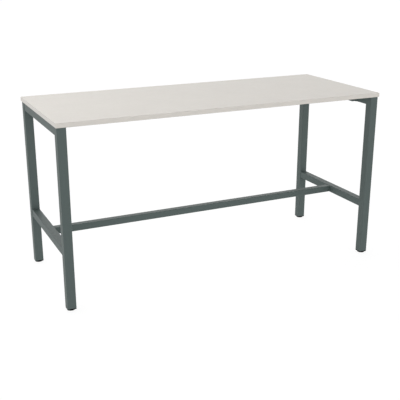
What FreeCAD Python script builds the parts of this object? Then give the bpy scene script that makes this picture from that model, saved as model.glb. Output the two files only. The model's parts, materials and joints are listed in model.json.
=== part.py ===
"""Standing meeting table: a flat worktop on two welded end frames of square steel tube.

The end frames are joined by a foot rest bar near the floor and two beams under the worktop,
and each leg stands on a levelling foot whose stem screws in and out of a captive nut.

Millimetres. The origin is on the floor below the middle of the worktop.
+X runs along the table, +Y towards its back and +Z up.
"""

import FreeCAD, Part
import math
import os
import re

import Sketcher

OUT = "parts"

# The sizes that can be set by themselves.
DRIVING = {
    # whole table
    "table_length": 2000,
    "table_depth": 800,
    "table_height": 1044,
    # worktop: a coated board with an edge band glued round it
    "top_thickness": 25,
    "band_thickness": 2,
    "band_rounding": 1.2,
    # end frames, set back from the edge of the worktop
    "frame_setback": 5,
    "leg_width": 50,
    "leg_wall": 2,
    "leg_bend_radius": 1.5,
    "top_rail_width": 45,
    "top_rail_height": 50,
    "foot_rail_width": 45,
    "foot_rail_centre": 331.3,
    "rail_wall": 2,
    "rail_bend_radius": 1,
    # foot rest bar between the two foot rails, and the spigots that hold it
    "footrest_width": 40,
    "footrest_wall": 2,
    "footrest_bend_radius": 1,
    "spigot_wall": 3,
    "spigot_length": 60,
    "spigot_clearance": 0.3,
    # beams under the worktop
    "beam_width": 40,
    "beam_height": 40,
    "beam_wall": 2,
    "beam_bend_radius": 1,
    "beam_rail_margin": 132,
    # cradle that carries each end of a beam on the top rail
    "cradle_plate": 3,
    "cradle_reach": 23,
    "cradle_skirt": 7,
    "cradle_top_gap": 2,
    "cradle_side_clearance": 0.2,
    "cradle_corner_radius": 5,
    "cradle_edge_margin": 4,
    "spanner_room": 3.5,
    # machine screws and the nuts welded behind their holes
    "bolt_diameter": 6,
    "bolt_head_diameter": 10.5,
    "bolt_crown_diameter": 7.4,
    "bolt_head_height": 3.3,
    "bolt_socket_flats": 4,
    "bolt_socket_depth": 2,
    "bolt_hole_clearance": 0.3,
    "bolt_end_past_nut": 1.5,
    "nut_thread_gap": 0.05,
    "weld_nut_flats": 10,
    "weld_nut_height": 5,
    # wood screws that hold the worktop down
    "screw_diameter": 4,
    "screw_head_diameter": 9,
    "screw_crown_diameter": 5.4,
    "screw_head_height": 3,
    "screw_bite": 16,
    "screw_point": 3,
    "screw_tip_diameter": 0.6,
    "pilot_gap": 0.05,
    "pilot_spare_depth": 2,
    "screw_hole_clearance": 0.5,
    "screw_access_diameter": 12,
    "rail_screw_margin": 60,
    "beam_screw_margin": 150,
    # levelling foot: insert in the leg, captive nut, stem and swivel pad
    "foot_travel": 10,
    "flange_thickness": 5.5,
    "flange_setback": 0.3,
    "plug_height": 28,
    "plug_wall": 2.2,
    "fin_depth": 0.8,
    "fin_thickness": 1.4,
    "fin_clearance": 0.1,
    "fin_corner_easing": 1,
    "boss_wall": 2.5,
    "boss_top_gap": 6,
    "web_thickness": 2,
    "web_drop": 4,
    "stem_diameter": 8,
    "stem_bore_clearance": 0.5,
    "stem_spare": 4,
    "stem_point": 1,
    "stem_nut_flats": 13,
    "stem_nut_height": 6.5,
    "stem_nut_side_gap": 0.1,
    "collar_height": 3,
    "collar_gap": 0.25,
    "collar_recess_clearance": 0.6,
    "pad_diameter": 45,
    "pad_height": 6,
    "pad_floor": 1.5,
    "pad_lip": 1.5,
    "pad_bevel": 0.8,
    "button_diameter": 14,
    "button_side_gap": 0.3,
    "button_end_gap": 0.2,
}

# Sizes and places that follow from them, so that what meets stays together.
DERIVED = {
    "top_underside": "table_height - top_thickness",
    "board_length": "table_length - 2 * band_thickness",
    "board_depth": "table_depth - 2 * band_thickness",
    "frame_face_x": "table_length / 2 - frame_setback",
    "frame_face_y": "table_depth / 2 - frame_setback",
    "leg_x": "frame_face_x - leg_width / 2",
    "leg_y": "frame_face_y - leg_width / 2",
    "leg_bottom": "pad_height + flange_thickness",
    "leg_length": "top_underside - leg_bottom",
    "leg_inside": "leg_width - 2 * leg_wall",
    "rail_length": "2 * (frame_face_y - leg_width)",
    "top_rail_face_x": "leg_x - top_rail_width / 2",
    "top_rail_z": "top_underside - top_rail_height / 2",
    "foot_rail_face_x": "leg_x - foot_rail_width / 2",
    "footrest_bottom": "foot_rail_centre - footrest_width / 2",
    "spigot_width": "footrest_width - 2 * (footrest_wall + spigot_clearance)",
    "spigot_x": "foot_rail_face_x - spigot_length / 2",
    "beam_y": "rail_length / 2 - beam_rail_margin",
    "beam_end_x": "top_rail_face_x - cradle_plate",
    "beam_bottom": "top_underside - beam_height",
    "cradle_height": "beam_height + cradle_plate + cradle_skirt",
    "cradle_seat": "cradle_skirt + cradle_plate",
    "cradle_bottom": "top_underside - cradle_height",
    "cheek_y": "beam_width / 2 + cradle_side_clearance",
    "cheek_face_y": "cheek_y + cradle_plate",
    "cradle_bolt_y": "cheek_face_y + spanner_room + bolt_head_diameter / 2",
    "cradle_width": "2 * (cradle_bolt_y + bolt_head_diameter / 2 + cradle_edge_margin)",
    "clamp_x": "(cradle_plate + cradle_reach) / 2",
    "bolt_hole": "bolt_diameter + 2 * bolt_hole_clearance",
    "bolt_thread": "bolt_diameter + 2 * nut_thread_gap",
    "screw_hole": "screw_diameter + 2 * screw_hole_clearance",
    "pilot_hole": "screw_diameter + 2 * pilot_gap",
    "rail_screw_span": "rail_length - 2 * rail_screw_margin",
    "beam_screw_span": "2 * (beam_end_x - beam_screw_margin)",
    "flange_width": "leg_width - 2 * flange_setback",
    "fin_width": "leg_inside - 2 * fin_clearance",
    "plug_width": "fin_width - 2 * fin_depth",
    "plug_hollow": "plug_width - 2 * plug_wall",
    "fin_radius": "leg_bend_radius + fin_corner_easing",
    "stem_thread": "stem_diameter + 2 * nut_thread_gap",
    "stem_bore": "stem_diameter + 2 * stem_bore_clearance",
    "stem_nut_pocket": "stem_nut_flats + 2 * stem_nut_side_gap",
    "boss_diameter": "stem_nut_pocket / cos(30) + 2 * boss_wall",
    "boss_top": "flange_thickness + plug_height - boss_top_gap",
    "stem_nut_z": "boss_top - stem_nut_height",
    "web_top": "boss_top - web_drop",
    "collar_recess": "stem_nut_flats / cos(30) + 2 * collar_recess_clearance",
    "collar_z": "pad_height + collar_gap",
    "collar_recess_depth": "collar_height + 2 * collar_gap",
    "button_bottom": "pad_floor + button_end_gap",
    "button_top": "pad_height - pad_lip - button_end_gap",
    "pad_cavity": "button_diameter + 2 * button_side_gap",
    "pad_mouth": "stem_diameter + 2 * button_side_gap",
    "stem_top": "pad_height + boss_top + foot_travel + stem_spare",
}

ENDS = {"left": -1, "right": 1}
SIDES = {"front": -1, "rear": 1}
RAIL_SCREW_COUNT = 3
BEAM_SCREW_COUNT = 4
PLUG_FIN_COUNT = 3
PLUG_WEB_COUNT = 4
HEXAGON_SIDES = 6
FULL_TURN = 360

doc = FreeCAD.newDocument("StandingMeetingTable")


def fill_sheet():
    """Write the driving numbers and the formulas that follow from them, one row each."""
    sheet = doc.addObject("Spreadsheet::Sheet", "Sizes")
    contents = {name: str(number) for name, number in DRIVING.items()}
    contents.update({name: "=" + formula for name, formula in DERIVED.items()})
    for row, (name, text) in enumerate(contents.items(), start=1):
        sheet.set(f"A{row}", name)
        sheet.set(f"B{row}", text)
        sheet.setAlias(f"B{row}", name)
    doc.recompute()
    return sheet


sheet = fill_sheet()


def formula(text):
    """Point every size named in a formula at the sheet."""
    return re.sub(r"\b[a-z]+(_[a-z]+)+\b", r"Sizes.\g<0>", text)


def value(text):
    """The present value of a formula in sheet names."""
    return float(sheet.evalExpression(formula(text)))


def bind(target, path, text):
    target.setExpression(path, formula(text))


# Sketches ---------------------------------------------------------------------------------


def new_body(name):
    body = doc.addObject("PartDesign::Body", name)
    body.Label = name
    return body


def origin_feature(body, role):
    """One of a body's own origin planes or axes."""
    return next(item for item in body.Origin.OriginFeatures if item.Role == role)


def new_sketch(body, plane, x="0", y="0", z="0"):
    """A sketch parallel to an origin plane, with its own origin at a point of the body."""
    sketch = body.newObject("Sketcher::SketchObject", f"{body.Name}_sketch")
    sketch.AttachmentSupport = [(origin_feature(body, plane), "")]
    sketch.MapMode = "FlatFace"
    along = {
        "XY_Plane": (x, y, z),
        "XZ_Plane": (x, z, f"-1 * ({y})"),
        "YZ_Plane": (y, z, x),
    }[plane]
    for axis, text in zip("xyz", along):
        bind(sketch, f"AttachmentOffset.Base.{axis}", text)
    return sketch


def dimension(sketch, constraint, text):
    """Add a dimension whose value is a formula."""
    index = sketch.addConstraint(constraint)
    bind(sketch, f"Constraints[{index}]", text)


def circle(sketch, diameter):
    """A circle round the sketch's origin."""
    item = sketch.addGeometry(Part.Circle(FreeCAD.Vector(), FreeCAD.Vector(0, 0, 1), value(diameter) / 2))
    sketch.addConstraint(Sketcher.Constraint("Coincident", item, 3, -1, 1))
    dimension(sketch, Sketcher.Constraint("Diameter", item, value(diameter)), diameter)


def rectangle(sketch, width, height):
    """A rectangle centred on the sketch's origin."""
    half_x, half_y = value(width) / 2, value(height) / 2
    corners = [FreeCAD.Vector(sx * half_x, sy * half_y) for sx, sy in ((-1, -1), (1, -1), (1, 1), (-1, 1))]
    first = sketch.GeometryCount
    for turn in range(4):
        sketch.addGeometry(Part.LineSegment(corners[turn], corners[(turn + 1) % 4]))
    for turn in range(4):
        line = first + turn
        sketch.addConstraint(Sketcher.Constraint("Coincident", line, 2, first + (turn + 1) % 4, 1))
        sketch.addConstraint(Sketcher.Constraint("Horizontal" if turn % 2 == 0 else "Vertical", line))
    sketch.addConstraint(Sketcher.Constraint("Symmetric", first, 1, first + 2, 1, -1, 1))
    dimension(sketch, Sketcher.Constraint("DistanceX", first, 1, first, 2, 2 * half_x), width)
    dimension(sketch, Sketcher.Constraint("DistanceY", first + 1, 1, first + 1, 2, 2 * half_y), height)


def rounded_rectangle(sketch, width, height, radius):
    """A rectangle with round corners, centred on the sketch's origin."""
    half_x, half_y, r = value(width) / 2, value(height) / 2, value(radius)
    arcs, lines = [], []
    for turn, (sx, sy) in enumerate(((1, -1), (1, 1), (-1, 1), (-1, -1))):
        corner = FreeCAD.Vector(sx * (half_x - r), sy * (half_y - r))
        start = math.radians(90 * (turn - 1))
        arc = Part.ArcOfCircle(Part.Circle(corner, FreeCAD.Vector(0, 0, 1), r), start, start + math.pi / 2)
        arcs.append(sketch.addGeometry(arc))
    following = arcs[1:] + arcs[:1]
    for arc, next_arc in zip(arcs, following):
        line = Part.LineSegment(sketch.getPoint(arc, 2), sketch.getPoint(next_arc, 1))
        lines.append(sketch.addGeometry(line))
    for turn, (arc, line, next_arc) in enumerate(zip(arcs, lines, following)):
        sketch.addConstraint(Sketcher.Constraint("Tangent", arc, 2, line, 1))
        sketch.addConstraint(Sketcher.Constraint("Tangent", line, 2, next_arc, 1))
        sketch.addConstraint(Sketcher.Constraint("Vertical" if turn % 2 == 0 else "Horizontal", line))
        if turn:
            sketch.addConstraint(Sketcher.Constraint("Equal", arcs[0], arc))
    right, top, left, bottom = lines
    sketch.addConstraint(Sketcher.Constraint("Symmetric", arcs[0], 3, arcs[2], 3, -1, 1))
    dimension(sketch, Sketcher.Constraint("Radius", arcs[0], r), radius)
    dimension(sketch, Sketcher.Constraint("DistanceX", left, 1, right, 1, 2 * half_x), width)
    dimension(sketch, Sketcher.Constraint("DistanceY", bottom, 1, top, 1, 2 * half_y), height)


def outline(sketch, points):
    """A closed outline of straight lines, each corner a pair of formulas from the sketch's origin."""
    places = [FreeCAD.Vector(value(x), value(y)) for x, y in points]
    first = sketch.GeometryCount
    count = len(points)
    for turn in range(count):
        sketch.addGeometry(Part.LineSegment(places[turn], places[(turn + 1) % count]))
    for turn, (x, y) in enumerate(points):
        line = first + turn
        sketch.addConstraint(Sketcher.Constraint("Coincident", line, 2, first + (turn + 1) % count, 1))
        if x == "0":
            sketch.addConstraint(Sketcher.Constraint("PointOnObject", line, 1, -2))
        else:
            dimension(sketch, Sketcher.Constraint("DistanceX", -1, 1, line, 1, places[turn].x), x)
        if y == "0":
            sketch.addConstraint(Sketcher.Constraint("PointOnObject", line, 1, -1))
        else:
            dimension(sketch, Sketcher.Constraint("DistanceY", -1, 1, line, 1, places[turn].y), y)


def hexagon(sketch, flats):
    """A regular hexagon round the sketch's origin, sized across its flats."""
    radius = value(flats) / 2 / math.cos(math.pi / HEXAGON_SIDES)
    ring = sketch.addGeometry(Part.Circle(FreeCAD.Vector(), FreeCAD.Vector(0, 0, 1), radius), True)
    sketch.addConstraint(Sketcher.Constraint("Coincident", ring, 3, -1, 1))
    corners = []
    for turn in range(HEXAGON_SIDES):
        angle = 2 * math.pi * turn / HEXAGON_SIDES
        corners.append(FreeCAD.Vector(radius * math.cos(angle), radius * math.sin(angle)))
    lines = []
    for turn in range(HEXAGON_SIDES):
        line = Part.LineSegment(corners[turn], corners[(turn + 1) % HEXAGON_SIDES])
        lines.append(sketch.addGeometry(line))
    for turn, line in enumerate(lines):
        following = lines[(turn + 1) % HEXAGON_SIDES]
        sketch.addConstraint(Sketcher.Constraint("Coincident", line, 2, following, 1))
        sketch.addConstraint(Sketcher.Constraint("PointOnObject", line, 1, ring))
        if turn:
            sketch.addConstraint(Sketcher.Constraint("Equal", lines[0], line))
    sketch.addConstraint(Sketcher.Constraint("PointOnObject", lines[0], 1, -1))
    dimension(sketch, Sketcher.Constraint("Diameter", ring, 2 * radius), f"{flats} / cos(30)")


# Features ---------------------------------------------------------------------------------


def feature(body, kind, name, **settings):
    item = body.newObject(f"PartDesign::{kind}", f"{body.Name}_{name}")
    for key, setting in settings.items():
        setattr(item, key, setting)
    body.Tip = item
    return item


def pad(sketch, length, name, both_ways=False):
    """Extrude a sketch along its normal, or half each way."""
    item = feature(sketch.getParentGeoFeatureGroup(), "Pad", name, Profile=sketch, Midplane=both_ways)
    bind(item, "Length", length)
    return item


def pocket(sketch, depth, name, along_normal=False):
    """Cut a sketch's outline out, against the sketch's normal unless told to go along it."""
    body = sketch.getParentGeoFeatureGroup()
    item = feature(body, "Pocket", name, Profile=sketch, Reversed=along_normal)
    bind(item, "Length", depth)
    return item


def revolve(sketch, axis, name):
    """Turn a sketch fully round its own horizontal or vertical axis."""
    body = sketch.getParentGeoFeatureGroup()
    return feature(body, "Revolution", name, Profile=sketch, ReferenceAxis=(sketch, [axis]), Angle=FULL_TURN)


def mirrored(body, plane):
    item = doc.addObject("PartDesign::Mirrored", f"{body.Name}_mirror")
    item.MirrorPlane = (origin_feature(body, plane), [""])
    return item


def in_a_row(body, axis, span, count):
    item = doc.addObject("PartDesign::LinearPattern", f"{body.Name}_row")
    item.Direction = (origin_feature(body, axis), [""])
    item.Occurrences = count
    bind(item, "Length", span)
    return item


def repeat(features, name, *ways):
    """Repeat features by mirrors and rows, one after the other."""
    body = features[0].getParentGeoFeatureGroup()
    return feature(body, "MultiTransform", name, Originals=features, Transformations=list(ways))


def place(body, x="0", y="0", z="0", turn=0):
    """Put a body in the table, turned about the vertical by some degrees."""
    body.Placement = FreeCAD.Placement(FreeCAD.Vector(), FreeCAD.Rotation(FreeCAD.Vector(0, 0, 1), turn))
    for axis, text in zip("xyz", (x, y, z)):
        bind(body, f"Placement.Base.{axis}", text)


def signed(sign, text):
    return f"{sign} * {text}"


# Worktop ----------------------------------------------------------------------------------


def rail_screw_ways(body):
    """The screws of one top rail stand in a row, and the other rail has the same."""
    return (in_a_row(body, "Y_Axis", "rail_screw_span", RAIL_SCREW_COUNT), mirrored(body, "YZ_Plane"))


def beam_screw_ways(body):
    """The screws of one beam stand in a row, and the other beam has the same."""
    return (in_a_row(body, "X_Axis", "beam_screw_span", BEAM_SCREW_COUNT), mirrored(body, "XZ_Plane"))


def worktop_board():
    """Coated board, drilled from below for the screws in the rails and the beams."""
    body = new_body("worktop_board")
    face = new_sketch(body, "XY_Plane")
    rectangle(face, "board_length", "board_depth")
    pad(face, "top_thickness", "board")
    in_rails = new_sketch(body, "XY_Plane", "-1 * leg_x", "-1 * rail_screw_span / 2")
    in_beams = new_sketch(body, "XY_Plane", "-1 * beam_screw_span / 2", "-1 * beam_y")
    for name, sketch, ways in (("rail", in_rails, rail_screw_ways), ("beam", in_beams, beam_screw_ways)):
        circle(sketch, "pilot_hole")
        pilot = pocket(sketch, "screw_bite + pilot_spare_depth", f"{name}_pilot", along_normal=True)
        repeat([pilot], f"{name}_pilots", *ways(body))
    place(body, z="top_underside")


def edge_band(name, length, turn, x="0", y="0"):
    """A strip glued to one edge of the board, with its two outer arrises rounded."""
    body = new_body(name)
    section = new_sketch(body, "YZ_Plane")
    band_section(section)
    pad(section, length, "strip", both_ways=True)
    place(body, x, y, "top_underside", turn)


def band_section(sketch):
    """The strip's section: flat towards the board at y = 0, rounded away from it, towards -y."""
    thick, high, r = value("band_thickness"), value("top_thickness"), value("band_rounding")
    up = FreeCAD.Vector(0, 0, 1)
    low = Part.ArcOfCircle(Part.Circle(FreeCAD.Vector(r - thick, r), up, r), math.pi, 1.5 * math.pi)
    high_arc = Part.Circle(FreeCAD.Vector(r - thick, high - r), up, r)
    top = Part.ArcOfCircle(high_arc, 0.5 * math.pi, math.pi)
    bottom_line = Part.LineSegment(FreeCAD.Vector(r - thick, 0), FreeCAD.Vector(0, 0))
    back_line = Part.LineSegment(FreeCAD.Vector(0, 0), FreeCAD.Vector(0, high))
    top_line = Part.LineSegment(FreeCAD.Vector(0, high), FreeCAD.Vector(r - thick, high))
    face_line = Part.LineSegment(FreeCAD.Vector(-thick, high - r), FreeCAD.Vector(-thick, r))
    low, bottom_line, back_line, top_line, top, face_line = (
        sketch.addGeometry(item) for item in (low, bottom_line, back_line, top_line, top, face_line)
    )
    for kind, *ends in (
        ("Tangent", low, 2, bottom_line, 1),
        ("Coincident", bottom_line, 2, back_line, 1),
        ("Coincident", back_line, 2, top_line, 1),
        ("Tangent", top_line, 2, top, 1),
        ("Tangent", top, 2, face_line, 1),
        ("Tangent", face_line, 2, low, 1),
        ("Coincident", bottom_line, 2, -1, 1),
        ("Horizontal", bottom_line),
        ("Vertical", back_line),
        ("Horizontal", top_line),
        ("Vertical", face_line),
        ("Equal", low, top),
    ):
        sketch.addConstraint(Sketcher.Constraint(kind, *ends))
    dimension(sketch, Sketcher.Constraint("Radius", low, r), "band_rounding")
    dimension(sketch, Sketcher.Constraint("DistanceY", back_line, 1, back_line, 2, high), "top_thickness")
    dimension(sketch, Sketcher.Constraint("DistanceX", face_line, 1, back_line, 1, thick), "band_thickness")


def edge_bands():
    """The long bands run the whole length and cover the ends of the short ones."""
    edge_band("edge_band_front", "table_length", 0, y="-1 * board_depth / 2")
    edge_band("edge_band_rear", "table_length", 180, y="board_depth / 2")
    edge_band("edge_band_left", "board_depth", -90, x="-1 * board_length / 2")
    edge_band("edge_band_right", "board_depth", 90, x="board_length / 2")


# Frame ------------------------------------------------------------------------------------


def tube(name, plane, width, height, wall, bend, length, both_ways=True):
    """A length of rectangular tube along the plane's normal, bent from sheet of even thickness."""
    body = new_body(name)
    section = new_sketch(body, plane)
    rounded_rectangle(section, width, height, f"{bend} + {wall}")
    rounded_rectangle(section, f"{width} - 2 * {wall}", f"{height} - 2 * {wall}", bend)
    pad(section, length, "tube", both_ways)
    return body


def legs():
    for end, x_sign in ENDS.items():
        for side, y_sign in SIDES.items():
            body = tube(
                f"leg_{side}_{end}", "XY_Plane", "leg_width", "leg_width",
                "leg_wall", "leg_bend_radius", "leg_length", both_ways=False,
            )
            place(body, signed(x_sign, "leg_x"), signed(y_sign, "leg_y"), "leg_bottom")


def screw_holes(body, height, wall, span, axis, count):
    """A row of screw holes in a tube's top wall, with wider holes below for the screws to pass."""
    start = {"X_Axis": (f"-1 * {span} / 2", "0"), "Y_Axis": ("0", f"-1 * {span} / 2")}[axis]
    above = new_sketch(body, "XY_Plane", *start, f"{height} / 2")
    circle(above, "screw_hole")
    hole = pocket(above, wall, "screw_hole")
    below = new_sketch(body, "XY_Plane", *start, f"-1 * {height} / 2")
    circle(below, "screw_access_diameter")
    access = pocket(below, wall, "screw_access", along_normal=True)
    repeat([hole, access], "screw_holes", in_a_row(body, axis, span, count))


def top_rails():
    """Rails under the worktop's ends, drilled for its screws and for the cradles' bolts."""
    for end, x_sign in ENDS.items():
        body = tube(
            f"top_rail_{end}", "XZ_Plane", "top_rail_width", "top_rail_height",
            "rail_wall", "rail_bend_radius", "rail_length",
        )
        screw_holes(body, "top_rail_height", "rail_wall", "rail_screw_span", "Y_Axis", RAIL_SCREW_COUNT)
        bolt_side = new_sketch(
            body, "YZ_Plane", signed(-x_sign, "top_rail_width / 2"), "-1 * beam_y - cradle_bolt_y"
        )
        circle(bolt_side, "bolt_hole")
        hole = pocket(bolt_side, "rail_wall", "bolt_hole", along_normal=x_sign > 0)
        pair = in_a_row(body, "Y_Axis", "2 * cradle_bolt_y", 2)
        repeat([hole], "bolt_holes", pair, mirrored(body, "XZ_Plane"))
        place(body, signed(x_sign, "leg_x"), z="top_rail_z")


def foot_rails():
    for end, x_sign in ENDS.items():
        body = tube(
            f"foot_rail_{end}", "XZ_Plane", "foot_rail_width", "foot_rail_width",
            "rail_wall", "rail_bend_radius", "rail_length",
        )
        place(body, signed(x_sign, "leg_x"), z="foot_rail_centre")


def footrest():
    """Bar between the foot rails, pushed over a welded spigot at each end and screwed from below."""
    body = tube(
        "footrest_bar", "YZ_Plane", "footrest_width", "footrest_width",
        "footrest_wall", "footrest_bend_radius", "2 * foot_rail_face_x",
    )
    below = new_sketch(body, "XY_Plane", "-1 * spigot_x", z="-1 * footrest_width / 2")
    circle(below, "bolt_hole")
    hole = pocket(below, "footrest_wall", "screw_hole", along_normal=True)
    repeat([hole], "screw_holes", mirrored(body, "YZ_Plane"))
    place(body, z="foot_rail_centre")
    for end, x_sign in ENDS.items():
        spigot = tube(
            f"footrest_spigot_{end}", "YZ_Plane", "spigot_width", "spigot_width",
            "spigot_wall", "footrest_bend_radius", "spigot_length",
        )
        below = new_sketch(spigot, "XY_Plane", z="-1 * spigot_width / 2")
        circle(below, "bolt_thread")
        pocket(below, "spigot_wall", "thread", along_normal=True)
        place(spigot, signed(x_sign, "spigot_x"), z="foot_rail_centre")


def beams():
    """Beams under the worktop, drilled for its screws and for the clamp bolts at their ends."""
    for side, y_sign in SIDES.items():
        body = tube(
            f"beam_{side}", "YZ_Plane", "beam_width", "beam_height",
            "beam_wall", "beam_bend_radius", "2 * beam_end_x",
        )
        screw_holes(body, "beam_height", "beam_wall", "beam_screw_span", "X_Axis", BEAM_SCREW_COUNT)
        below = new_sketch(body, "XY_Plane", "-1 * top_rail_face_x + clamp_x", z="-1 * beam_height / 2")
        circle(below, "bolt_hole")
        hole = pocket(below, "beam_wall", "clamp_hole", along_normal=True)
        repeat([hole], "clamp_holes", mirrored(body, "YZ_Plane"))
        place(body, y=signed(y_sign, "beam_y"), z="top_underside - beam_height / 2")


def beam_cradle(name, x_sign, y_sign):
    """Welded bracket: a plate bolted to the rail and a seat between two cheeks, its edge turned down."""
    body = new_body(name)
    plate = new_sketch(body, "YZ_Plane", z="(cradle_height - cradle_top_gap) / 2")
    rounded_rectangle(plate, "cradle_width", "cradle_height - cradle_top_gap", "cradle_corner_radius")
    pad(plate, "cradle_plate", "plate")
    cheek = new_sketch(body, "XZ_Plane", y="-1 * cheek_y")
    outline(
        cheek,
        [
            ("0", "0"),
            ("cradle_reach", "0"),
            ("cradle_reach", "cradle_seat + beam_height / 2"),
            ("0", "cradle_height - cradle_top_gap"),
        ],
    )
    cheek_pad = pad(cheek, "cradle_plate", "cheek")
    repeat([cheek_pad], "cheeks", mirrored(body, "XZ_Plane"))
    seat = new_sketch(body, "XY_Plane", "cradle_reach / 2", z="cradle_skirt")
    rectangle(seat, "cradle_reach", "2 * cheek_face_y")
    pad(seat, "cradle_plate", "seat")
    turned_edge = new_sketch(body, "YZ_Plane", "cradle_reach - cradle_plate", z="cradle_skirt / 2")
    rectangle(turned_edge, "2 * cheek_face_y", "cradle_skirt")
    pad(turned_edge, "cradle_plate", "turned_edge")
    under_seat = new_sketch(body, "XY_Plane", "clamp_x", z="cradle_skirt")
    circle(under_seat, "bolt_hole")
    pocket(under_seat, "cradle_plate", "clamp_hole", along_normal=True)
    behind = new_sketch(
        body, "YZ_Plane", y="-1 * cradle_bolt_y", z="cradle_height - top_rail_height / 2"
    )
    circle(behind, "bolt_hole")
    hole = pocket(behind, "cradle_plate", "bolt_hole", along_normal=True)
    repeat([hole], "bolt_holes", mirrored(body, "XZ_Plane"))
    turn = 180 if x_sign > 0 else 0
    place(body, signed(x_sign, "top_rail_face_x"), signed(y_sign, "beam_y"), "cradle_bottom", turn)


def beam_cradles():
    for end, x_sign in ENDS.items():
        for side, y_sign in SIDES.items():
            beam_cradle(f"beam_cradle_{side}_{end}", x_sign, y_sign)


# Fasteners --------------------------------------------------------------------------------


def bolt(body, plane, shank, x="0", y="0", z="0"):
    """A machine screw with a bevelled head and a hexagon socket, from its head along +X or +Z."""
    sketch = new_sketch(body, "XZ_Plane", x, y, z)
    head_radius, shank_radius = "bolt_head_diameter / 2", "bolt_diameter / 2"
    steps = [
        ("0", "0"),
        ("0", "bolt_crown_diameter / 2"),
        ("bolt_head_height / 2", head_radius),
        ("bolt_head_height", head_radius),
        ("bolt_head_height", shank_radius),
        (f"bolt_head_height + {shank}", shank_radius),
        (f"bolt_head_height + {shank}", "0"),
    ]
    upright = plane == "XY_Plane"
    outline(sketch, [(radius, along) if upright else (along, radius) for along, radius in steps])
    turned = revolve(sketch, "V_Axis" if upright else "H_Axis", "bolt")
    socket = new_sketch(body, plane, x, y, z)
    hexagon(socket, "bolt_socket_flats")
    return [turned, pocket(socket, "bolt_socket_depth", "socket", along_normal=True)]


def weld_nut(body, plane, x="0", y="0", z="0"):
    """A hexagon nut round a screw's end."""
    sketch = new_sketch(body, plane, x, y, z)
    hexagon(sketch, "weld_nut_flats")
    circle(sketch, "bolt_thread")
    return pad(sketch, "weld_nut_height", "nut")


def cradle_ways(body):
    """Two in each cradle's plate, in the cradles at both sides and at both ends."""
    pair = in_a_row(body, "Y_Axis", "2 * cradle_bolt_y", 2)
    return (pair, mirrored(body, "XZ_Plane"), mirrored(body, "YZ_Plane"))


def cradle_fasteners():
    first_y = "-1 * beam_y - cradle_bolt_y"
    bolts = new_body("cradle_bolts")
    head_x = "top_rail_face_x - cradle_plate - bolt_head_height"
    shank = "cradle_plate + rail_wall + weld_nut_height + bolt_end_past_nut"
    first = bolt(bolts, "YZ_Plane", shank, head_x, first_y, "top_rail_z")
    repeat(first, "all", *cradle_ways(bolts))
    nuts = new_body("cradle_weld_nuts")
    nut = weld_nut(nuts, "YZ_Plane", "top_rail_face_x + rail_wall", first_y, "top_rail_z")
    repeat([nut], "all", *cradle_ways(nuts))


def clamp_fasteners():
    """One screw up through each cradle's seat into a nut inside the beam."""
    clamp = "-1 * top_rail_face_x + clamp_x", "-1 * beam_y"
    bolts = new_body("clamp_bolts")
    head_z = "beam_bottom - cradle_plate - bolt_head_height"
    shank = "cradle_plate + beam_wall + weld_nut_height + bolt_end_past_nut"
    first = bolt(bolts, "XY_Plane", shank, *clamp, head_z)
    repeat(first, "all", mirrored(bolts, "XZ_Plane"), mirrored(bolts, "YZ_Plane"))
    nuts = new_body("clamp_weld_nuts")
    nut = weld_nut(nuts, "XY_Plane", *clamp, "beam_bottom + beam_wall")
    repeat([nut], "all", mirrored(nuts, "XZ_Plane"), mirrored(nuts, "YZ_Plane"))


def footrest_screws():
    """One screw up into each spigot, through the underside of the foot rest bar."""
    body = new_body("footrest_screws")
    shank = "footrest_wall + spigot_clearance + spigot_wall + bolt_end_past_nut"
    head_z = "footrest_bottom - bolt_head_height"
    first = bolt(body, "XY_Plane", shank, "-1 * spigot_x", z=head_z)
    repeat(first, "all", mirrored(body, "YZ_Plane"))


def wood_screw(body, wall, x, y):
    """A wood screw whose head bears on the inside of a tube's top wall."""
    sketch = new_sketch(body, "XZ_Plane", x, y, f"top_underside - {wall} - screw_head_height")
    radius, tip = "screw_diameter / 2", f"screw_head_height + {wall} + screw_bite"
    outline(
        sketch,
        [
            ("0", "0"),
            ("screw_crown_diameter / 2", "0"),
            ("screw_head_diameter / 2", "screw_head_height / 2"),
            ("screw_head_diameter / 2", "screw_head_height"),
            (radius, "screw_head_height"),
            (radius, f"{tip} - screw_point"),
            ("screw_tip_diameter / 2", tip),
            ("0", tip),
        ],
    )
    return revolve(sketch, "V_Axis", "screw")


def wood_screws():
    in_rails = new_body("rail_screws")
    first = wood_screw(in_rails, "rail_wall", "-1 * leg_x", "-1 * rail_screw_span / 2")
    repeat([first], "all", *rail_screw_ways(in_rails))
    in_beams = new_body("beam_screws")
    first = wood_screw(in_beams, "beam_wall", "-1 * beam_screw_span / 2", "-1 * beam_y")
    repeat([first], "all", *beam_screw_ways(in_beams))


# Levelling feet ---------------------------------------------------------------------------
# Each foot is modelled about its own axis, from the floor up.


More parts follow.
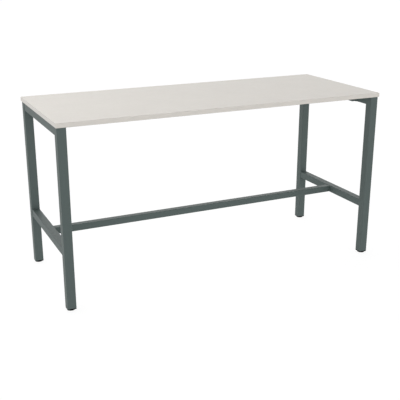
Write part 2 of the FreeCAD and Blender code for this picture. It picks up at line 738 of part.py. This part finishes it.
def foot_insert(name, x, y):
    """Plastic plug in the leg's end: flange, finned hollow plug, webs and a boss for the nut."""
    body = new_body(name)
    flange = new_sketch(body, "XY_Plane")
    rounded_rectangle(flange, "flange_width", "flange_width", "leg_bend_radius + leg_wall")
    pad(flange, "flange_thickness", "flange")
    plug = new_sketch(body, "XY_Plane", z="flange_thickness")
    rounded_rectangle(plug, "plug_width", "plug_width", "fin_radius")
    pad(plug, "plug_height", "plug")
    fin_pitch = f"(plug_height - fin_thickness) / {PLUG_FIN_COUNT}"
    fin = new_sketch(body, "XY_Plane", z=f"flange_thickness + {fin_pitch}")
    rounded_rectangle(fin, "fin_width", "fin_width", "fin_radius")
    first_fin = pad(fin, "fin_thickness", "fin")
    fin_row = in_a_row(body, "Z_Axis", f"{fin_pitch} * {PLUG_FIN_COUNT - 1}", PLUG_FIN_COUNT)
    repeat([first_fin], "fins", fin_row)
    hollow = new_sketch(body, "XY_Plane", z="flange_thickness")
    rounded_rectangle(hollow, "plug_hollow", "plug_hollow", "fin_radius")
    pocket(hollow, "plug_height", "hollow", along_normal=True)
    boss = new_sketch(body, "XY_Plane", z="flange_thickness")
    circle(boss, "boss_diameter")
    pad(boss, "boss_top - flange_thickness", "boss")
    web = new_sketch(body, "XY_Plane", "plug_hollow / 4", z="flange_thickness")
    rectangle(web, "plug_hollow / 2", "web_thickness")
    first_web = pad(web, "web_top - flange_thickness", "web")
    webs = feature(body, "PolarPattern", "webs", Originals=[first_web], Angle=FULL_TURN)
    webs.Occurrences = PLUG_WEB_COUNT
    webs.Axis = (origin_feature(body, "Z_Axis"), [""])
    nut_seat = new_sketch(body, "XY_Plane", z="stem_nut_z")
    hexagon(nut_seat, "stem_nut_pocket")
    pocket(nut_seat, "stem_nut_height", "nut_seat", along_normal=True)
    drill_stem_bore(body)
    place(body, x, y, "pad_height")


def drill_stem_bore(body):
    """Bore for the stem right through the flange and boss, wider below for the stem's collar."""
    mouth = new_sketch(body, "XY_Plane")
    circle(mouth, "stem_bore")
    doc.recompute()
    bore = feature(body, "Hole", "stem_bore", Profile=mouth, Reversed=True)
    bore.DepthType = "Dimension"
    bore.DrillPoint = "Flat"
    bore.HoleCutType = "Counterbore"
    bore.HoleCutCustomValues = True
    bind(bore, "Diameter", "stem_bore")
    bind(bore, "Depth", "boss_top")
    bind(bore, "HoleCutDiameter", "collar_recess")
    bind(bore, "HoleCutDepth", "collar_recess_depth")


def foot_nut(name, x, y):
    """Hexagon nut caught in the insert's boss."""
    body = new_body(name)
    sketch = new_sketch(body, "XY_Plane")
    hexagon(sketch, "stem_nut_flats")
    circle(sketch, "stem_thread")
    pad(sketch, "stem_nut_height", "nut")
    place(body, x, y, "pad_height + stem_nut_z")


def foot_stem(name, x, y):
    """Steel stem: a button that turns inside the pad, a hexagon collar and the threaded rod."""
    body = new_body(name)
    sketch = new_sketch(body, "XZ_Plane")
    outline(
        sketch,
        [
            ("0", "button_bottom"),
            ("button_diameter / 2", "button_bottom"),
            ("button_diameter / 2", "button_top"),
            ("stem_diameter / 2", "button_top"),
            ("stem_diameter / 2", "stem_top - stem_point"),
            ("stem_diameter / 2 - stem_point", "stem_top"),
            ("0", "stem_top"),
        ],
    )
    revolve(sketch, "V_Axis", "rod")
    collar = new_sketch(body, "XY_Plane", z="collar_z")
    hexagon(collar, "stem_nut_flats")
    pad(collar, "collar_height", "collar")
    place(body, x, y)


def foot_pad(name, x, y):
    """Round plastic pad, hollow round the stem's button, with a lip that keeps the button in."""
    body = new_body(name)
    sketch = new_sketch(body, "XZ_Plane")
    radius = "pad_diameter / 2"
    outline(
        sketch,
        [
            ("0", "0"),
            (f"{radius} - pad_bevel", "0"),
            (radius, "pad_bevel"),
            (radius, "pad_height"),
            ("pad_mouth / 2", "pad_height"),
            ("pad_mouth / 2", "pad_height - pad_lip"),
            ("pad_cavity / 2", "pad_height - pad_lip"),
            ("pad_cavity / 2", "pad_floor"),
            ("0", "pad_floor"),
        ],
    )
    revolve(sketch, "V_Axis", "pad")
    place(body, x, y)


def levelling_feet():
    for end, x_sign in ENDS.items():
        for side, y_sign in SIDES.items():
            spot = signed(x_sign, "leg_x"), signed(y_sign, "leg_y")
            foot_insert(f"foot_insert_{side}_{end}", *spot)
            foot_nut(f"foot_nut_{side}_{end}", *spot)
            foot_stem(f"foot_stem_{side}_{end}", *spot)
            foot_pad(f"foot_pad_{side}_{end}", *spot)


# Whole table ------------------------------------------------------------------------------


def check_document():
    """Stop if a feature failed, a cut removed nothing or a sub-part is not a sound solid."""
    for item in doc.Objects:
        if "Invalid" in item.State or "Error" in item.State:
            raise RuntimeError(f"{item.Name}: {item.State}")
        if item.TypeId in ("PartDesign::Pocket", "PartDesign::Hole"):
            if item.Shape.Volume >= item.BaseFeature.Shape.Volume:
                raise RuntimeError(f"{item.Name} removed nothing")
    for body in bodies():
        if body.Shape.isNull() or not body.Shape.isValid() or not body.Shape.Solids:
            raise RuntimeError(f"{body.Label} is not a sound solid")


def bodies():
    return [item for item in doc.Objects if item.TypeId == "PartDesign::Body"]


def write_parts():
    os.makedirs(OUT, exist_ok=True)
    for body in bodies():
        body.Shape.exportStep(os.path.join(OUT, f"{body.Label}.step"))


worktop_board()
edge_bands()
legs()
top_rails()
foot_rails()
footrest()
beams()
beam_cradles()
cradle_fasteners()
clamp_fasteners()
footrest_screws()
wood_screws()
levelling_feet()
doc.recompute()
check_document()
write_parts()
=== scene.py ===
"""Looks of the standing meeting table: camera, light, floor, finishes and small forms.

Metres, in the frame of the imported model: the origin is on the floor below the middle of the worktop.
"""

import json
import math

import bmesh
import bpy
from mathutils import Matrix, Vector


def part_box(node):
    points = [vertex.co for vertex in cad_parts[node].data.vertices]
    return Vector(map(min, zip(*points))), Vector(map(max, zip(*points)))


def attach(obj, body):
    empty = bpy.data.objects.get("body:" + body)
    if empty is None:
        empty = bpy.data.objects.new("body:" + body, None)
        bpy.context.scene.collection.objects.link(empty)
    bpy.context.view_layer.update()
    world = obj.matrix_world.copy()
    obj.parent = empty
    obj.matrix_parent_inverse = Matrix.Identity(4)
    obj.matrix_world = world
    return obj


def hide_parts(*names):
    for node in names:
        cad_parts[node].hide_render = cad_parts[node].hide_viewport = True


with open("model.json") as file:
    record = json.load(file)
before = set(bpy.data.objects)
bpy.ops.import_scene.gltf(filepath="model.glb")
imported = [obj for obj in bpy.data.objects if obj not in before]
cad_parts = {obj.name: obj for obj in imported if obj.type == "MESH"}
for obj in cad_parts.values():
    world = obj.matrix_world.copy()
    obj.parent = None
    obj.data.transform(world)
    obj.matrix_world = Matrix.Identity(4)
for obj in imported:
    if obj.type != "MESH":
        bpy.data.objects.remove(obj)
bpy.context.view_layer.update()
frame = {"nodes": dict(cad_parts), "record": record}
NODES = frame["nodes"]
ENDS, SIDES = ("left", "right"), ("front", "rear")


# Camera, floor and light --------------------------------------------------------------------

CAMERA_PLACE = (-1.8853, -3.9764, 1.8561)
CAMERA_TOWARDS = (0.4033, 0.8579, -0.3183)
LENS_MM, SENSOR_MM = 66.58, 36.0
FAR_CLIP = 200.0
WHITE = (1.0, 1.0, 1.0, 1.0)
FLOOR_REACH, FLOOR_GREY, FLOOR_GLOW = 60.0, 0.15, 0.89
PANEL_PLACE, PANEL_SIZE, PANEL_WATTS = (-1.5, 0.0, 2.6), (1.2, 1.6), 7.0

# Soft lights in the surroundings: a strength, and sines of the height angle with shares of it
EVEN_GLOW, ALL_ROUND = 1.0, ((0.3, 1.0), (1.0, 0.2))
FRONT_GLOW, LOW = -1.7, ((0.12, 1.0), (0.5, 0.0))
REAR_GLOW, HALF_WAY = 2.6, ((0.12, 0.0), (0.5, 1.0), (0.85, 0.0))


def make_camera():
    """The camera stands in front of the table's left half and looks down at it."""
    camera = bpy.data.objects.new("camera", bpy.data.cameras.new("camera"))
    bpy.context.scene.collection.objects.link(camera)
    camera.data.sensor_width = SENSOR_MM
    camera.data.lens = LENS_MM
    camera.data.clip_end = FAR_CLIP
    camera.location = CAMERA_PLACE
    camera.rotation_euler = Vector(CAMERA_TOWARDS).to_track_quat("-Z", "Y").to_euler()
    bpy.context.scene.camera = camera


def make_floor():
    """A wide plain floor that fills the picture, as white as the surroundings."""
    low, high = -FLOOR_REACH, FLOOR_REACH
    corners = [(low, low, 0), (high, low, 0), (high, high, 0), (low, high, 0)]
    mesh = bpy.data.meshes.new("floor")
    mesh.from_pydata(corners, [], [(0, 1, 2, 3)])
    floor = bpy.data.objects.new("floor", mesh)
    bpy.context.scene.collection.objects.link(floor)
    material, shader, tree = new_material("floor_plain")
    shader.inputs["Base Color"].default_value = (FLOOR_GREY, FLOOR_GREY, FLOOR_GREY, 1)
    shader.inputs["Roughness"].default_value = 0.9
    shader.inputs["Specular IOR Level"].default_value = 0.0
    shader.inputs["Emission Color"].default_value = WHITE
    shader.inputs["Emission Strength"].default_value = FLOOR_GLOW
    mesh.materials.append(material)


def calculate(tree, operation, first, second):
    """A sum, product or the like of two values, each a socket or a number."""
    node = tree.nodes.new("ShaderNodeMath")
    node.operation = operation
    for socket, value in zip(node.inputs, (first, second)):
        if isinstance(value, float):
            socket.default_value = value
        else:
            tree.links.new(value, socket)
    return node.outputs["Value"]


def glow(tree, direction, strength, heights, axis=None):
    """Strength of a soft light in the surroundings by height, all round or from one side.

    With an axis the light comes from the axis's plus side, or its minus side if the strength is below zero.
    """
    ramp = tree.nodes.new("ShaderNodeValToRGB")
    stops = ramp.color_ramp.elements
    while len(stops) < len(heights):
        stops.new(1.0)
    for stop, (height, share) in zip(stops, heights):
        stop.position, stop.color = height, (share, share, share, 1)
    tree.links.new(direction.outputs["Z"], ramp.inputs["Fac"])
    light = ramp.outputs["Color"]
    if axis:
        side = calculate(tree, "MULTIPLY", direction.outputs[axis], math.copysign(1.0, strength))
        light = calculate(tree, "MULTIPLY", light, calculate(tree, "MAXIMUM", side, 0.0))
    return calculate(tree, "MULTIPLY", light, abs(strength))


def make_light():
    """Pale surroundings, lighter low in front and half-way up behind, and a panel above the left end."""
    scene = bpy.context.scene
    scene.view_settings.view_transform = "Standard"
    scene.world = bpy.data.worlds.new("studio")
    scene.world.use_nodes = True
    tree = scene.world.node_tree
    place = tree.nodes.new("ShaderNodeTexCoord")
    direction = tree.nodes.new("ShaderNodeSeparateXYZ")
    tree.links.new(place.outputs["Generated"], direction.inputs["Vector"])
    even = glow(tree, direction, EVEN_GLOW, ALL_ROUND)
    front = glow(tree, direction, FRONT_GLOW, LOW, "Y")
    rear = glow(tree, direction, REAR_GLOW, HALF_WAY, "Y")
    total = calculate(tree, "ADD", calculate(tree, "ADD", even, front), rear)
    tree.links.new(total, tree.nodes["Background"].inputs["Strength"])
    tree.nodes["Background"].inputs["Color"].default_value = WHITE

    panel = bpy.data.lights.new("panel", "AREA")
    panel.shape = "RECTANGLE"
    panel.size, panel.size_y = PANEL_SIZE
    panel.energy = PANEL_WATTS
    over = bpy.data.objects.new("panel", panel)
    over.location = PANEL_PLACE
    scene.collection.objects.link(over)


# Materials ----------------------------------------------------------------------------------

GREY_GREEN = (0.0685, 0.089, 0.0855)
WARM_WHITE = (0.570, 0.540, 0.496)
BAND_WHITE = (0.502, 0.478, 0.442)
ZINC_BLUISH, ZINC_YELLOWISH = (0.50, 0.51, 0.53), (0.66, 0.65, 0.61)
BLACK, WORN_BLACK = (0.003, 0.003, 0.003), (0.006, 0.006, 0.006)
NOISE_LOW, NOISE_HIGH = 0.3, 0.7


def new_material(name):
    """A new material with its shader and its node tree."""
    material = bpy.data.materials.new(name)
    material.use_nodes = True
    tree = material.node_tree
    return material, tree.nodes["Principled BSDF"], tree


def noise(tree, scale, detail=2.0, stretch=(1, 1, 1)):
    """Noise over the object's own coordinates, scale in features per metre."""
    coordinates = tree.nodes.new("ShaderNodeTexCoord")
    mapping = tree.nodes.new("ShaderNodeMapping")
    mapping.inputs["Scale"].default_value = stretch
    texture = tree.nodes.new("ShaderNodeTexNoise")
    texture.inputs["Scale"].default_value = scale
    texture.inputs["Detail"].default_value = detail
    tree.links.new(coordinates.outputs["Object"], mapping.inputs["Vector"])
    tree.links.new(mapping.outputs["Vector"], texture.inputs["Vector"])
    return texture.outputs["Fac"]


def spread(tree, source, low, high):
    """Map the middle of a noise to a range of numbers."""
    node = tree.nodes.new("ShaderNodeMapRange")
    node.inputs["From Min"].default_value = NOISE_LOW
    node.inputs["From Max"].default_value = NOISE_HIGH
    node.inputs["To Min"].default_value = low
    node.inputs["To Max"].default_value = high
    tree.links.new(source, node.inputs["Value"])
    return node.outputs["Result"]


def blend(tree, source, dark, light):
    """A colour between two, by the middle of a noise."""
    node = tree.nodes.new("ShaderNodeMix")
    node.data_type = "RGBA"
    node.inputs["A"].default_value = (*dark, 1)
    node.inputs["B"].default_value = (*light, 1)
    tree.links.new(spread(tree, source, 0, 1), node.inputs["Factor"])
    return node.outputs["Result"]


def bump(tree, shader, height, depth, under=None):
    """Relief of a depth in metres, on top of a coarser one if given."""
    node = tree.nodes.new("ShaderNodeBump")
    node.inputs["Distance"].default_value = depth
    tree.links.new(height, node.inputs["Height"])
    if under:
        tree.links.new(under, node.inputs["Normal"])
    tree.links.new(node.outputs["Normal"], shader.inputs["Normal"])
    return node.outputs["Normal"]


def shades(colour, share):
    """A colour's darker and lighter neighbours."""
    return tuple(c * (1 - share) for c in colour), tuple(c * (1 + share) for c in colour)


def frame_paint():
    """Fine-texture powder coat in a dark grey-green."""
    material, shader, tree = new_material("frame_paint")
    grain = noise(tree, scale=1500)
    tree.links.new(blend(tree, grain, *shades(GREY_GREEN, 0.06)), shader.inputs["Base Color"])
    shader.inputs["Specular IOR Level"].default_value = 0.2
    tree.links.new(spread(tree, noise(tree, scale=140), 0.46, 0.56), shader.inputs["Roughness"])
    peel = bump(tree, shader, noise(tree, scale=260, detail=1), depth=0.00003)
    bump(tree, shader, grain, depth=0.00008, under=peel)
    return material


def board():
    """Melamine face in a warm off-white, with a faint cloudiness and a fine pearl texture."""
    material, shader, tree = new_material("board")
    cloud = noise(tree, scale=9, detail=4)
    tree.links.new(blend(tree, cloud, *shades(WARM_WHITE, 0.012)), shader.inputs["Base Color"])
    tree.links.new(spread(tree, noise(tree, scale=60), 0.44, 0.52), shader.inputs["Roughness"])
    shader.inputs["Specular IOR Level"].default_value = 0.34
    bump(tree, shader, noise(tree, scale=1600), depth=0.00002)
    return material


def edge_band():
    """Extruded plastic band, a shade darker than the board, with faint lines along it."""
    material, shader, tree = new_material("edge_band")
    lines = noise(tree, scale=1, detail=3, stretch=(5, 5, 1400))
    tree.links.new(blend(tree, lines, *shades(BAND_WHITE, 0.012)), shader.inputs["Base Color"])
    tree.links.new(spread(tree, noise(tree, scale=120), 0.36, 0.46), shader.inputs["Roughness"])
    bump(tree, shader, lines, depth=0.00001)
    return material


def zinc_steel():
    """Bright zinc plate, slightly cloudy, with fine drawn lines."""
    material, shader, tree = new_material("zinc_steel")
    cloud = noise(tree, scale=180, detail=3)
    tree.links.new(blend(tree, cloud, ZINC_BLUISH, ZINC_YELLOWISH), shader.inputs["Base Color"])
    tree.links.new(spread(tree, noise(tree, scale=700), 0.26, 0.40), shader.inputs["Roughness"])
    shader.inputs["Metallic"].default_value = 1.0
    bump(tree, shader, noise(tree, scale=1, stretch=(1500, 1500, 200)), depth=0.00001)
    return material


def black_plastic():
    """Moulded black polyamide with an eroded, slightly worn surface."""
    material, shader, tree = new_material("black_plastic")
    wear = noise(tree, scale=240, detail=4)
    tree.links.new(blend(tree, wear, BLACK, WORN_BLACK), shader.inputs["Base Color"])
    tree.links.new(spread(tree, noise(tree, scale=400), 0.58, 0.70), shader.inputs["Roughness"])
    shader.inputs["Specular IOR Level"].default_value = 0.06
    bump(tree, shader, noise(tree, scale=1800), depth=0.00003)
    return material


def dress_nodes(finishes):
    """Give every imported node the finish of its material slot."""
    for part in frame["record"]["subparts"]:
        node = NODES[part["node"]]
        node.data.materials.clear()
        node.data.materials.append(finishes[part["material_slot"]])


# Pieces made here ---------------------------------------------------------------------------

SHARP_EDGE = math.radians(35)


def new_piece(name, mesh, finish, body):
    """A piece with its finish and material slot that moves with a body of the table."""
    piece = bpy.data.objects.new(name, mesh)
    bpy.context.scene.collection.objects.link(piece)
    mesh.materials.append(finish)
    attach(piece, body)
    return piece


def skin(shape, rings, closed=False):
    """Add a tube through rings of points, closed on itself or capped at both ends."""
    rows = [[shape.verts.new(point) for point in ring] for ring in rings]
    around = len(rings[0])
    pairs = list(zip(rows, rows[1:])) + ([(rows[-1], rows[0])] if closed else [])
    for low, high in pairs:
        for turn in range(around):
            after = (turn + 1) % around
            shape.faces.new((low[turn], low[after], high[after], high[turn]))
    if not closed:
        shape.faces.new(list(reversed(rows[0])))
        shape.faces.new(rows[-1])


def smooth_mesh(name, shape):
    """The mesh of a shape, shaded smooth."""
    bmesh.ops.recalc_face_normals(shape, faces=shape.faces)
    for face in shape.faces:
        face.smooth = True
    mesh = bpy.data.meshes.new(name)
    shape.to_mesh(mesh)
    shape.free()
    return mesh


def turned_mesh(name, shape):
    """The mesh of a turned steel piece, smooth but for its edges."""
    mesh = smooth_mesh(name, shape)
    mesh.set_sharp_from_angle(angle=SHARP_EDGE)
    return mesh


def full_turn(count):
    """Angles in even steps once round."""
    return [2 * math.pi * step / count for step in range(count)]


def hexagon_radius(angle, flat):
    """Distance from a hexagon's middle to its outline at an angle, with half the width over its flats."""
    side = math.pi / 3
    return flat / math.cos(angle % side - side / 2)


def hexagon_corner(flat):
    """Distance from a hexagon's middle to its corners."""
    return flat / math.cos(math.pi / 6)


# Welds --------------------------------------------------------------------------------------

TUBE_RADIUS, TUBE_CORNER_STEPS = 0.003, 4
BEAD_SIZE, BEAD_RIPPLE = 0.0016, 0.00022
BEAD_STEP, STEPS_PER_RIPPLE = 0.0005, 4.5

# Depths that a bead reaches into the rail and the leg, and the angles of the points across its face
IN_RAIL, IN_LEG, FACE_ANGLES = 0.0003, 0.0014, (8, 30, 52, 75)

# An open bead ends a little below the worktop and gets thinner over its last steps, down to a share
END_BELOW_TOP, TAPER_STEPS, TAPER_SHARE = 0.0012, 5, 0.35


def rail_outline(low, high, open_top):
    """Points round a rail's section, each with the angle that the surface faces there.

    An open one runs down the left side, along the bottom and up the right side. A closed one goes all round.
    """
    corners = [(low.x, low.z, 180), (high.x, low.z, 270)]
    if not open_top:
        corners += [(high.x, high.z, 360), (low.x, high.z, 450)]
    path = []
    for x, z, start in corners:
        centre_x = x + TUBE_RADIUS if x == low.x else x - TUBE_RADIUS
        centre_z = z + TUBE_RADIUS if z == low.z else z - TUBE_RADIUS
        for step in range(TUBE_CORNER_STEPS + 1):
            angle = math.radians(start + 90 * step / TUBE_CORNER_STEPS)
            across, up = TUBE_RADIUS * math.cos(angle), TUBE_RADIUS * math.sin(angle)
            path.append((Vector((centre_x + across, 0, centre_z + up)), angle))
    if not open_top:
        first, angle = path[0]
        return [*path, (first.copy(), angle + 2 * math.pi)]
    end_z = high.z - END_BELOW_TOP
    left_end = (Vector((low.x, 0, end_z)), math.pi)
    right_end = (Vector((high.x, 0, end_z)), 2 * math.pi)
    return [left_end, *path, right_end]


def walk(path):
    """Points and angles in even steps along a path of them."""
    steps = []
    for (here, angle), (there, next_angle) in zip(path, path[1:]):
        count = max(1, round((there - here).length / BEAD_STEP))
        for step in range(count):
            share = step / count
            steps.append((here.lerp(there, share), angle + (next_angle - angle) * share))
    return steps


def weld_bead(name, low, high, leg_face, towards, open_top):
    """A fillet weld round a rail's end, rippled like a row of coins.

    It reaches back into the leg, where it fills the rounded edge behind it.
    """
    steps = walk(rail_outline(low, high, open_top))
    ripples = round(len(steps) / STEPS_PER_RIPPLE)
    rings = []
    for number, (point, angle) in enumerate(steps):
        outward = Vector((math.cos(angle), 0, math.sin(angle)))
        ripple = abs(math.sin(math.pi * ripples * number / len(steps)))
        size = BEAD_SIZE + BEAD_RIPPLE * ripple
        if open_top:
            from_end = min(number, len(steps) - 1 - number)
            size *= min(1.0, TAPER_SHARE + (1 - TAPER_SHARE) * from_end / TAPER_STEPS)
        section = [(-IN_RAIL, -IN_LEG), (size, -IN_LEG)]
        for turn in map(math.radians, FACE_ANGLES):
            section.append((size * math.cos(turn), size * math.sin(turn)))
        section.append((-IN_RAIL, size))
        start = Vector((point.x, leg_face, point.z))
        along_rail = Vector((0, towards, 0))
        rings.append([start + outward * across + along_rail * along for across, along in section])
    shape = bmesh.new()
    skin(shape, rings, closed=not open_top)
    return smooth_mesh(name, shape)


def weld_beads(finish):
    """The welds of the rails to the legs. Those of the top rails are open below the worktop."""
    for end in ENDS:
        for rail, open_top in (("top_rail", True), ("foot_rail", False)):
            low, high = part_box(f"{rail}_{end}")
            for side, leg_face, towards in (("front", low.y, 1), ("rear", high.y, -1)):
                name = f"weld_{rail}_{side}_{end}"
                mesh = weld_bead(name, low, high, leg_face, towards, open_top)
                new_piece(name, mesh, finish, "root")


# Stems of the levelling feet ----------------------------------------------------------------

THREAD_PITCH, THREAD_RADIUS, THREAD_ROOT_RADIUS = 0.00125, 0.0040, 0.0034
ROWS_PER_PITCH, THREAD_SIDES = 8, 32
STEM_END_BEVEL = 0.001
BUTTON_RADIUS, BUTTON_HEIGHT, BUTTON_BEVEL = 0.0070, 0.0026, 0.0002
COLLAR_BOTTOM, COLLAR_TOP, COLLAR_FLAT, COLLAR_BEVEL = 0.00455, 0.00755, 0.0065, 0.0005
COLLAR_SIDES, CORNER_SHARE = 36, 0.15

# Shares of the pitch that the thread's flat root takes, and its two flanks together
ROOT_SHARE, FLANK_SHARE = 0.14, 0.74


def thread_radius(z, turn, start, end):
    """Radius of the thread at a height and a turn, run out at the collar and bevelled at its end."""
    phase = ((z - start) / THREAD_PITCH - turn / THREAD_SIDES) % 1
    flank = min(1.0, max(0.0, (abs(2 * phase - 1) - ROOT_SHARE) / FLANK_SHARE))
    run_out = min(1.0, max(0.0, (z - start) / THREAD_PITCH))
    depth = (THREAD_RADIUS - THREAD_ROOT_RADIUS) * run_out * (1 - flank)
    bevelled = THREAD_RADIUS - max(0.0, z - (end - STEM_END_BEVEL))
    return min(THREAD_RADIUS - depth, bevelled)


def stem_rows(low, high):
    """Heights up a stem with the radii round it: a button, a neck and a right-hand thread."""
    button_top, collar_top = low + BUTTON_HEIGHT, low + COLLAR_TOP
    plain = [
        (low, BUTTON_RADIUS - BUTTON_BEVEL),
        (low + BUTTON_BEVEL, BUTTON_RADIUS),
        (button_top - BUTTON_BEVEL, BUTTON_RADIUS),
        (button_top, BUTTON_RADIUS - BUTTON_BEVEL),
        (button_top, THREAD_RADIUS),
        (collar_top, THREAD_RADIUS),
    ]
    rows = [(z, [radius] * THREAD_SIDES) for z, radius in plain]
    count = round((high - collar_top) / THREAD_PITCH * ROWS_PER_PITCH)
    for row in range(1, count + 1):
        z = collar_top + (high - collar_top) * row / count
        rows.append((z, [thread_radius(z, turn, collar_top, high) for turn in range(THREAD_SIDES)]))
    return rows


def collar_rows(low):
    """Heights up a hexagon collar with the radii round it, its corners bevelled as on a turned blank."""
    bottom, top = low + COLLAR_BOTTOM, low + COLLAR_TOP
    corner = hexagon_corner(COLLAR_FLAT)
    bevelled = COLLAR_FLAT + (corner - COLLAR_FLAT) * CORNER_SHARE
    reaches = [
        (bottom, bevelled),
        (bottom + COLLAR_BEVEL, corner),
        (top - COLLAR_BEVEL, corner),
        (top, bevelled),
    ]
    hexagon = [hexagon_radius(angle, COLLAR_FLAT) for angle in full_turn(COLLAR_SIDES)]
    return [(z, [min(radius, reach) for radius in hexagon]) for z, reach in reaches]


def upright_rings(middle, rows):
    """Rings of points round an upright axis, from heights with the radii round them."""
    rings = []
    for z, radii in rows:
        turns = zip(full_turn(len(radii)), radii)
        spots = [(radius * math.cos(angle), radius * math.sin(angle)) for angle, radius in turns]
        rings.append([Vector((middle.x + across, middle.y + along, z)) for across, along in spots])
    return rings


def threaded_stems(finish):
    """The stem of each foot, with its thread and collar."""
    for end in ENDS:
        for side in SIDES:
            corner = f"{side}_{end}"
            node, name = f"foot_stem_{corner}", f"stem_thread_{corner}"
            low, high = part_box(node)
            middle = (low + high) / 2
            shape = bmesh.new()
            skin(shape, upright_rings(middle, stem_rows(low.z, high.z)))
            skin(shape, upright_rings(middle, collar_rows(low.z)))
            piece = new_piece(name, turned_mesh(name, shape), finish, f"stem_{corner}")
            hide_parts(node)


# Machine screws -----------------------------------------------------------------------------

X, Z = 0, 2
SCREW_AXES = {"cradle_bolts": X, "clamp_bolts": Z, "footrest_screws": Z}
SCREW_SIDES, DOME_STEPS = 36, 6
HEAD_BEVEL, MOUTH_BEVEL, SHANK_BEVEL = 0.00015, 0.0003, 0.0006

# Radius of the flat crown and height of the dome, as shares of the head's, and radius of the socket's mouth
CROWN_SHARE, DOME_SHARE, MOUTH_SHARE = 0.55, 0.75, 1.04

# Distances within which points are one, within which they lie at an end, and by which the socket is inside
ONE_POINT, AT_END, CLEAR_INSIDE = 0.00001, 0.0001, 0.0005


def loose_solids(node):
    """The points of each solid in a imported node, solid by solid."""
    shape = bmesh.new()
    shape.from_mesh(NODES[node].data)
    bmesh.ops.remove_doubles(shape, verts=shape.verts, dist=ONE_POINT)
    placed, seen, solids = NODES[node].matrix_world, set(), []
    for first in shape.verts:
        if first in seen:
            continue
        seen.add(first)
        solid = [first]
        for vert in solid:
            beside = [edge.other_vert(vert) for edge in vert.link_edges]
            found = [other for other in beside if other not in seen]
            seen.update(found)
            solid.extend(found)
        solids.append([placed @ vert.co for vert in solid])
    shape.free()
    return solids


def screw_rows(spots, length, shank):
    """Depths below the top of a domed head with the radii round them, from the socket's floor to the tip.

    The spots are the depths and radii of the points of the plain screw, which give the sizes.
    """
    head = max(radius for depth, radius in spots)
    head_height = max(depth for depth, radius in spots if radius > head - AT_END)
    socket = [spot for spot in spots if spot[0] < head_height and spot[1] < shank - CLEAR_INSIDE]
    socket_depth = max(depth for depth, radius in socket)
    socket_corner = max(radius for depth, radius in socket)
    crown, dome_height = CROWN_SHARE * head, DOME_SHARE * head_height
    circles = [(0.0, MOUTH_SHARE * socket_corner)]
    for step in range(DOME_STEPS + 1):
        angle = math.pi / 2 * step / DOME_STEPS
        circles.append((dome_height * (1 - math.cos(angle)), crown + (head - crown) * math.sin(angle)))
    circles += [
        (head_height - HEAD_BEVEL, head),
        (head_height, head - HEAD_BEVEL),
        (head_height, shank),
        (length - SHANK_BEVEL, shank),
        (length, shank - SHANK_BEVEL),
    ]
    flat = socket_corner * math.cos(math.pi / 6)
    hexagon = [hexagon_radius(angle, flat) for angle in full_turn(SCREW_SIDES)]
    rows = [(socket_depth, hexagon), (MOUTH_BEVEL, hexagon)]
    return rows + [(depth, [radius] * SCREW_SIDES) for depth, radius in circles]


def screw_rings(points, axis):
    """Rings of points of a domed machine screw, in place of the plain one with these points."""
    low, high = (Vector([pick(values) for values in zip(*points)]) for pick in (min, max))
    middle = (low + high) / 2
    across, beyond = (axis + 1) % 3, (axis + 2) % 3

    def from_axis(point):
        return math.hypot(point[across] - middle[across], point[beyond] - middle[beyond])

    low_radius = max(from_axis(point) for point in points if point[axis] < low[axis] + AT_END)
    high_radius = max(from_axis(point) for point in points if point[axis] > high[axis] - AT_END)
    top, towards = (low[axis], 1) if low_radius > high_radius else (high[axis], -1)
    spots = [((point[axis] - top) * towards, from_axis(point)) for point in points]
    rings = []
    for depth, radii in screw_rows(spots, high[axis] - low[axis], min(low_radius, high_radius)):
        ring = []
        for angle, radius in zip(full_turn(len(radii)), radii):
            point = middle.copy()
            point[axis] = top + towards * depth
            point[across] += radius * math.cos(angle)
            point[beyond] += radius * math.sin(angle)
            ring.append(point)
        rings.append(ring)
    return rings


def machine_screws(finish):
    """Domed heads with hexagon sockets on the screws that show from below."""
    for node, axis in SCREW_AXES.items():
        shape = bmesh.new()
        for points in loose_solids(node):
            skin(shape, screw_rings(points, axis))
        name = f"domed_{node}"
        piece = new_piece(name, turned_mesh(name, shape), finish, "root")
        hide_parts(node)


# Build --------------------------------------------------------------------------------------

make_camera()
make_floor()
make_light()
FINISHES = {
    "frame_paint": frame_paint(),
    "board": board(),
    "edge_band": edge_band(),
    "zinc_steel": zinc_steel(),
    "black_plastic": black_plastic(),
}
dress_nodes(FINISHES)
weld_beads(FINISHES["frame_paint"])
threaded_stems(FINISHES["zinc_steel"])
machine_screws(FINISHES["zinc_steel"])
